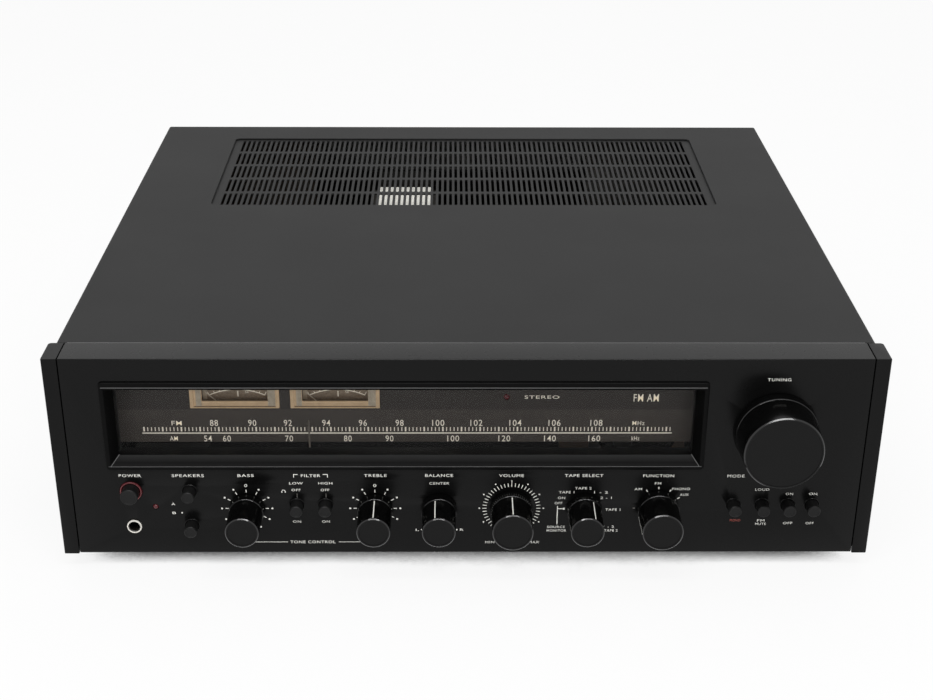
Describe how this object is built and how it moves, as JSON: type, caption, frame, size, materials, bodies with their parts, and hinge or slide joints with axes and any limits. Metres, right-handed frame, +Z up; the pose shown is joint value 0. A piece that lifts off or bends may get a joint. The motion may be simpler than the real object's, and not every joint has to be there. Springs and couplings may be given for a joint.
{
  "type": "stereo receiver",
  "caption": "Stereo receiver with a flywheel-tuned dial behind a bevelled window, turning knobs, push buttons, a vented cover and a swing-out aerial.",
  "frame": {"origin": "middle of the footprint's box, on the surface that the feet stand on", "axes": "+Z up, the front panel towards -Y, +X to the right of someone who faces the panel"},
  "size_m": [0.495, 0.4724, 0.145],
  "materials": {
    "aluminium": "plain",
    "black_plastic": "black moulding",
    "board": "printed circuit board",
    "cap_plastic": "satin black moulding",
    "core_steel": "varnished laminations",
    "cover_paint": "satin dark grey paint",
    "dial_brown": "dark printed dial",
    "ferrite": "dark ferrite",
    "gloss_black": "gloss black moulding",
    "knob_black": "gloss black moulding with a spun face",
    "lamp_red": "red lamp lens",
    "lens_clear": "clear plate",
    "meter_cream": "cream meter housing",
    "needle_red": "painted pointer",
    "nickel": "nickel plated",
    "panel_finish": "satin black finish on metal",
    "rubber": "black",
    "steel": "zinc plated sheet"
  },
  "bodies": {
    "receiver_body": {"amplifier_board": "board", "antenna_terminals": "black_plastic", "chassis_pan": "steel", "cord_gland": "black_plastic", "dial_lens": "lens_clear", "dial_plate": "dial_brown", "faceplate": "panel_finish", "front_left_foot": "rubber", "front_right_foot": "rubber", "front_subframe": "steel", "fuse_holder": "black_plastic", "headphone_jack": "nickel", "heatsink": "aluminium", "left_end_cap": "cap_plastic", "left_switch_bank": "black_plastic", "mode_switch_bank": "black_plastic", "phono_jacks": "nickel", "pointer_rail": "steel", "power_lamp": "lamp_red", "power_ring": "lamp_red", "power_transformer": "core_steel", "rear_left_foot": "rubber", "rear_panel": "steel", "rear_right_foot": "rubber", "right_end_cap": "cap_plastic", "selector_board": "board", "signal_meter": "meter_cream", "speaker_terminals": "black_plastic", "stereo_lamp": "lamp_red", "tone_board": "board", "top_cover": "cover_paint", "tuner_board": "board", "tuning_capacitor": "aluminium", "tuning_meter": "meter_cream", "vent_grille": "cover_paint", "window_bezel": "gloss_black"},
    "tuning_drive": {"tuning_knob": "knob_black", "tuning_shaft": "steel"},
    "pointer_body": {"dial_pointer": "needle_red"},
    "drum_body": {"dial_drum": "black_plastic"},
    "rotor_body": {"capacitor_rotor": "aluminium"},
    "bass_control": {"bass_knob": "knob_black"},
    "treble_control": {"treble_knob": "knob_black"},
    "balance_control": {"balance_knob": "knob_black"},
    "volume_control": {"volume_knob": "knob_black"},
    "tape_control": {"tape_knob": "knob_black"},
    "function_control": {"function_knob": "knob_black"},
    "speaker_a_button_body": {"speaker_a_button": "knob_black"},
    "speaker_b_button_body": {"speaker_b_button": "knob_black"},
    "low_filter_button_body": {"low_filter_button": "knob_black"},
    "high_filter_button_body": {"high_filter_button": "knob_black"},
    "mode_button_1_body": {"mode_button_1": "knob_black"},
    "mode_button_2_body": {"mode_button_2": "knob_black"},
    "mode_button_3_body": {"mode_button_3": "knob_black"},
    "mode_button_4_body": {"mode_button_4": "knob_black"},
    "power_button_body": {"power_button": "knob_black"},
    "signal_needle_body": {"signal_needle": "needle_red"},
    "tuning_needle_body": {"tuning_needle": "needle_red"},
    "aerial_body": {"ferrite_aerial": "ferrite"}
  },
  "joints": [
    {"name": "tuning_turn", "type": "hinge", "parent": "receiver_body", "child": "tuning_drive", "pos_m": [0.1835, -0.20775, 0.09771], "axis": [0, 1, 0], "range_deg": [-796.46, 2137.09]},
    {"name": "pointer_slide", "type": "slide", "parent": "receiver_body", "child": "pointer_body", "axis": [1, 0, 0], "range_m": [-0.0697, 0.1867]},
    {"name": "drum_turn", "type": "hinge", "parent": "receiver_body", "child": "drum_body", "pos_m": [0.10499, -0.17925, 0.088], "axis": [0, 1, 0], "range_deg": [-146.63, 393.41]},
    {"name": "capacitor_turn", "type": "hinge", "parent": "receiver_body", "child": "rotor_body", "pos_m": [0.10499, -0.16685, 0.088], "axis": [0, 1, 0], "range_deg": [-48.89, 131.15]},
    {"name": "bass_turn", "type": "hinge", "parent": "receiver_body", "child": "bass_control", "pos_m": [-0.1333, -0.20775, 0.04389], "axis": [0, 1, 0], "range_deg": [0, 300]},
    {"name": "treble_turn", "type": "hinge", "parent": "receiver_body", "child": "treble_control", "pos_m": [-0.05549, -0.20775, 0.04389], "axis": [0, 1, 0], "range_deg": [-150, 150]},
    {"name": "balance_turn", "type": "hinge", "parent": "receiver_body", "child": "balance_control", "pos_m": [-0.01671, -0.20775, 0.04389], "axis": [0, 1, 0], "range_deg": [-137, 163]},
    {"name": "volume_turn", "type": "hinge", "parent": "receiver_body", "child": "volume_control", "pos_m": [0.0273, -0.20775, 0.04389], "axis": [0, 1, 0], "range_deg": [-150, 150]},
    {"name": "tape_turn", "type": "hinge", "parent": "receiver_body", "child": "tape_control", "pos_m": [0.0717, -0.20775, 0.04389], "axis": [0, 1, 0], "range_deg": [-120, 90]},
    {"name": "function_turn", "type": "hinge", "parent": "receiver_body", "child": "function_control", "pos_m": [0.1164, -0.20775, 0.04389], "axis": [0, 1, 0], "range_deg": [0, 150]},
    {"name": "speaker_a_press", "type": "slide", "parent": "receiver_body", "child": "speaker_a_button_body", "axis": [0, 1, 0], "range_m": [0, 0.004], "stiffness_N_per_m": 150, "springref_m": -0.004},
    {"name": "speaker_b_press", "type": "slide", "parent": "receiver_body", "child": "speaker_b_button_body", "axis": [0, 1, 0], "range_m": [0, 0.004], "stiffness_N_per_m": 150, "springref_m": -0.004},
    {"name": "low_filter_press", "type": "slide", "parent": "receiver_body", "child": "low_filter_button_body", "axis": [0, 1, 0], "range_m": [0, 0.004], "stiffness_N_per_m": 150, "springref_m": -0.004},
    {"name": "high_filter_press", "type": "slide", "parent": "receiver_body", "child": "high_filter_button_body", "axis": [0, 1, 0], "range_m": [0, 0.004], "stiffness_N_per_m": 150, "springref_m": -0.004},
    {"name": "mode_1_press", "type": "slide", "parent": "receiver_body", "child": "mode_button_1_body", "axis": [0, 1, 0], "range_m": [0, 0.004], "stiffness_N_per_m": 150, "springref_m": -0.004},
    {"name": "mode_2_press", "type": "slide", "parent": "receiver_body", "child": "mode_button_2_body", "axis": [0, 1, 0], "range_m": [0, 0.004], "stiffness_N_per_m": 150, "springref_m": -0.004},
    {"name": "mode_3_press", "type": "slide", "parent": "receiver_body", "child": "mode_button_3_body", "axis": [0, 1, 0], "range_m": [0, 0.004], "stiffness_N_per_m": 150, "springref_m": -0.004},
    {"name": "mode_4_press", "type": "slide", "parent": "receiver_body", "child": "mode_button_4_body", "axis": [0, 1, 0], "range_m": [0, 0.004], "stiffness_N_per_m": 150, "springref_m": -0.004},
    {"name": "power_press", "type": "slide", "parent": "receiver_body", "child": "power_button_body", "axis": [0, 1, 0], "range_m": [0, 0.004], "stiffness_N_per_m": 150, "springref_m": -0.004},
    {"name": "signal_needle_swing", "type": "hinge", "parent": "receiver_body", "child": "signal_needle_body", "pos_m": [-0.13991, -0.18195, 0.0934], "axis": [0, 1, 0], "range_deg": [0, 92.02]},
    {"name": "tuning_needle_swing", "type": "hinge", "parent": "receiver_body", "child": "tuning_needle_body", "pos_m": [-0.0794, -0.18195, 0.0934], "axis": [0, 1, 0], "range_deg": [0, 92.02]},
    {"name": "aerial_swing", "type": "hinge", "parent": "receiver_body", "child": "aerial_body", "pos_m": [0.20542, 0.22625, 0.1184], "axis": [0, 0, -1], "range_deg": [0, 100]}
  ],
  "couplings": [
    {"joint": "pointer_slide", "follows": "tuning_turn", "m_per_rad": 0.005},
    {"joint": "drum_turn", "follows": "tuning_turn", "ratio": 0.18408},
    {"joint": "capacitor_turn", "follows": "tuning_turn", "ratio": 0.061359}
  ]
}
